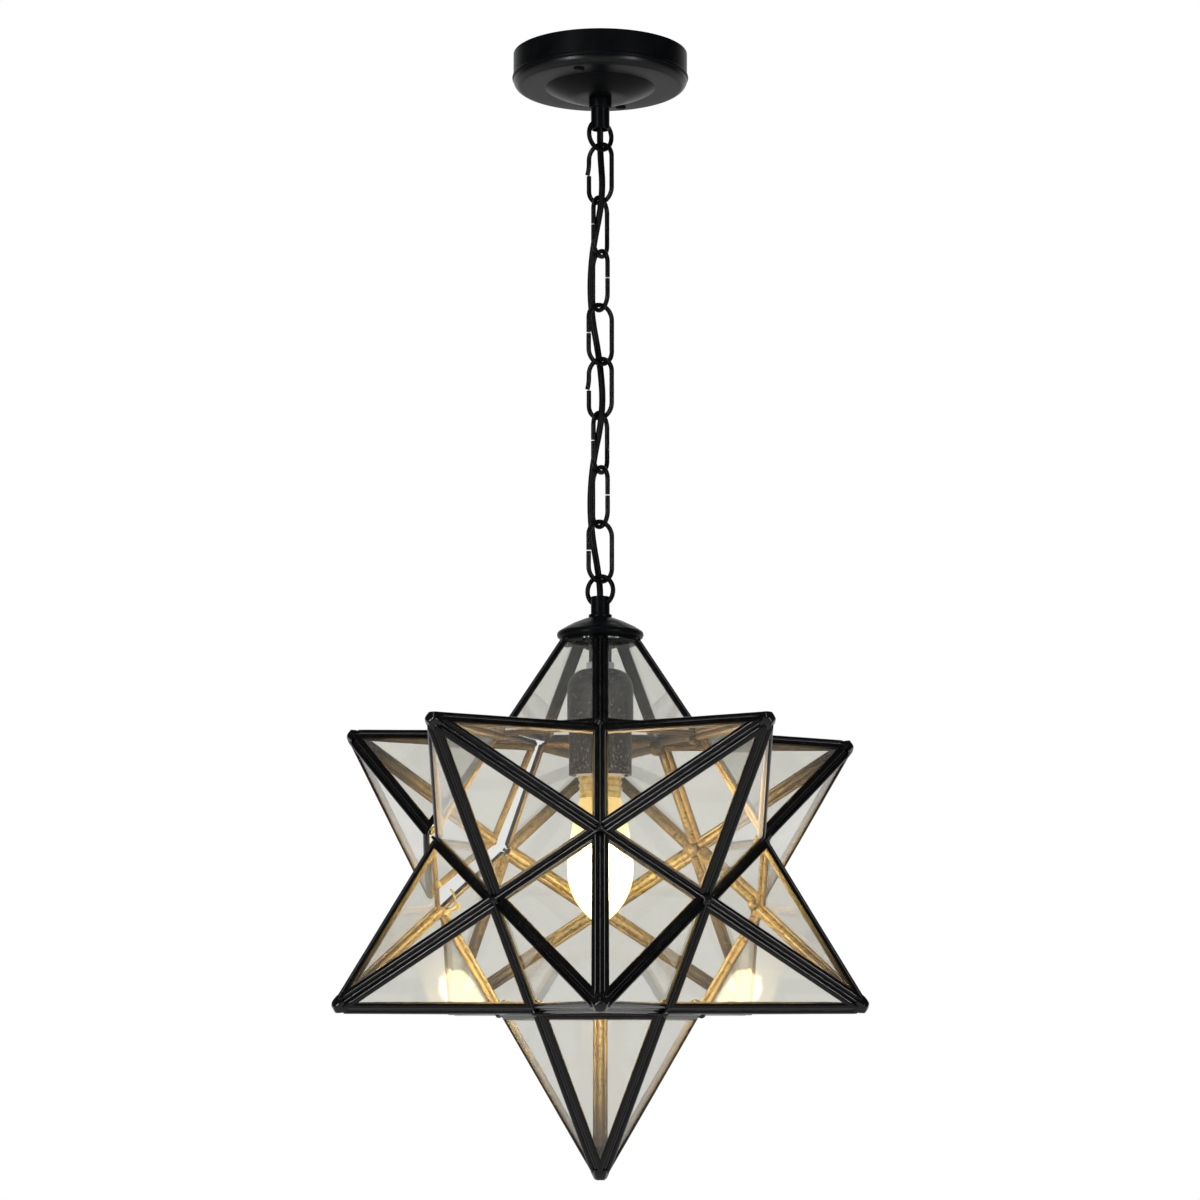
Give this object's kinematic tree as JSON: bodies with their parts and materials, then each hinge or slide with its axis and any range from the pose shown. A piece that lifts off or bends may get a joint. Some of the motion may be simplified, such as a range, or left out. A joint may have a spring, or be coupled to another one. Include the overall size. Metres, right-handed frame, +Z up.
{
  "type": "star pendant light",
  "caption": "Star-shaped pendant light of clear glass panes in black came, with a hinged door, a lamp in its socket, and a chain with woven flex to a round ceiling canopy.",
  "frame": {"origin": "on the ceiling plane, on the hanging axis, at the centre of the mounting strap", "axes": "+Z up out of the ceiling, -Y towards the front, +X to the right seen from the front"},
  "size_m": [0.3002, 0.3154, 0.6552],
  "materials": {
    "zinc_steel": "zinc plated",
    "white_plastic": "moulded",
    "white_ceramic": "glazed ceramic",
    "black_steel": "satin black paint",
    "black_flex": "smooth sheath",
    "black_came": "blackened outside, bare inside",
    "black_solder": "rough black solder",
    "clear_glass": "polished",
    "brass": "bare",
    "lamp_insulator": "fused glass",
    "lamp_glass": "clear",
    "filament": "glowing"
  },
  "bodies": {
    "canopy": {"mounting_strap": "zinc_steel", "canopy_screws": "zinc_steel", "earth_screw": "zinc_steel", "terminal_block": "white_plastic", "canopy": "black_steel", "ceiling_nipple": "zinc_steel", "canopy_lock_washer": "zinc_steel", "canopy_nut": "zinc_steel", "ceiling_loop": "black_steel", "power_cord": "black_flex"},
    "link_1": {"chain_link_1": "black_steel"},
    "link_2": {"chain_link_2": "black_steel"},
    "link_3": {"chain_link_3": "black_steel"},
    "link_4": {"chain_link_4": "black_steel"},
    "link_5": {"chain_link_5": "black_steel"},
    "link_6": {"chain_link_6": "black_steel"},
    "link_7": {"chain_link_7": "black_steel"},
    "link_8": {"chain_link_8": "black_steel"},
    "star": {"star_loop": "black_steel", "crown_cap": "black_steel", "crown_ring": "brass", "star_nipple": "zinc_steel", "star_nuts": "zinc_steel", "spacer_sleeve": "black_steel", "socket_cover": "black_steel", "socket_body": "white_ceramic", "socket_shell": "brass", "socket_contact": "brass", "socket_terminal_screws": "zinc_steel", "crown_came": "black_came", "bottom_came": "black_came", "upper_point_1_came": "black_came", "upper_point_2_came": "black_came", "upper_point_3_came": "black_came", "upper_point_4_came": "black_came", "lower_point_1_came": "black_came", "lower_point_2_came": "black_came", "lower_point_3_came": "black_came", "lower_point_4_came": "black_came", "lower_point_5_came": "black_came", "crown_glass": "clear_glass", "upper_glass": "clear_glass", "lower_glass": "clear_glass", "bottom_glass": "clear_glass", "tip_solder": "black_solder", "star_hinge_leaves": "brass", "hinge_pin": "brass", "latch_bracket": "brass"},
    "door": {"door_came": "black_came", "door_glass": "clear_glass", "door_tip_solder": "black_solder", "door_hinge_leaves": "brass", "latch_peg": "brass"},
    "latch": {"latch_hook": "brass"},
    "lamp": {"bulb_cap": "brass", "bulb_contact": "lamp_insulator", "bulb_glass": "lamp_glass", "bulb_stem": "lamp_glass", "bulb_filaments": "filament"}
  },
  "joints": [
    {"name": "link_1_swing", "type": "hinge", "parent": "canopy", "child": "link_1", "pos_m": [0, 0, -0.0568], "axis": [0.766, 0.6428, 0], "range_deg": [-12, 12], "deforming": ["power_cord"]},
    {"name": "link_2_swing", "type": "hinge", "parent": "link_1", "child": "link_2", "pos_m": [0, 0, -0.08875], "axis": [0.809, -0.5878, 0], "range_deg": [-12, 12], "deforming": ["power_cord"]},
    {"name": "link_3_swing", "type": "hinge", "parent": "link_2", "child": "link_3", "pos_m": [0, 0, -0.1207], "axis": [0.4848, 0.8746, 0], "range_deg": [-12, 12], "deforming": ["power_cord"]},
    {"name": "link_4_swing", "type": "hinge", "parent": "link_3", "child": "link_4", "pos_m": [0, 0, -0.15265], "axis": [0.515, -0.8572, 0], "range_deg": [-12, 12], "deforming": ["power_cord"]},
    {"name": "link_5_swing", "type": "hinge", "parent": "link_4", "child": "link_5", "pos_m": [0, 0, -0.1846], "axis": [0.8192, 0.5736, 0], "range_deg": [-12, 12], "deforming": ["power_cord"]},
    {"name": "link_6_swing", "type": "hinge", "parent": "link_5", "child": "link_6", "pos_m": [0, 0, -0.21655], "axis": [0.809, -0.5878, 0], "range_deg": [-12, 12], "deforming": ["power_cord"]},
    {"name": "link_7_swing", "type": "hinge", "parent": "link_6", "child": "link_7", "pos_m": [0, 0, -0.2485], "axis": [0.4848, 0.8746, 0], "range_deg": [-12, 12], "deforming": ["power_cord"]},
    {"name": "link_8_swing", "type": "hinge", "parent": "link_7", "child": "link_8", "pos_m": [0, 0, -0.28045], "axis": [0.515, -0.8572, 0], "range_deg": [-12, 12], "deforming": ["power_cord"]},
    {"name": "star_swing", "type": "hinge", "parent": "link_8", "child": "star", "pos_m": [0, 0, -0.3124], "axis": [0.8192, 0.5736, 0], "range_deg": [-12, 12], "deforming": ["power_cord"]},
    {"name": "door_hinge", "type": "hinge", "parent": "star", "child": "door", "pos_m": [-0.04827, 0.01568, -0.39841], "axis": [0.309, 0.9511, 0], "range_deg": [-3.6, 95]},
    {"name": "latch_pivot", "type": "hinge", "parent": "star", "child": "latch", "pos_m": [-0.08267, 0.02686, -0.49923], "axis": [-0.809, 0.2629, -0.5257], "range_deg": [-30, 60]},
    {"name": "lamp_removal", "type": "slide", "parent": "star", "child": "lamp", "axis": [0, 0, -1], "range_m": [0, 0.025]}
  ]
}
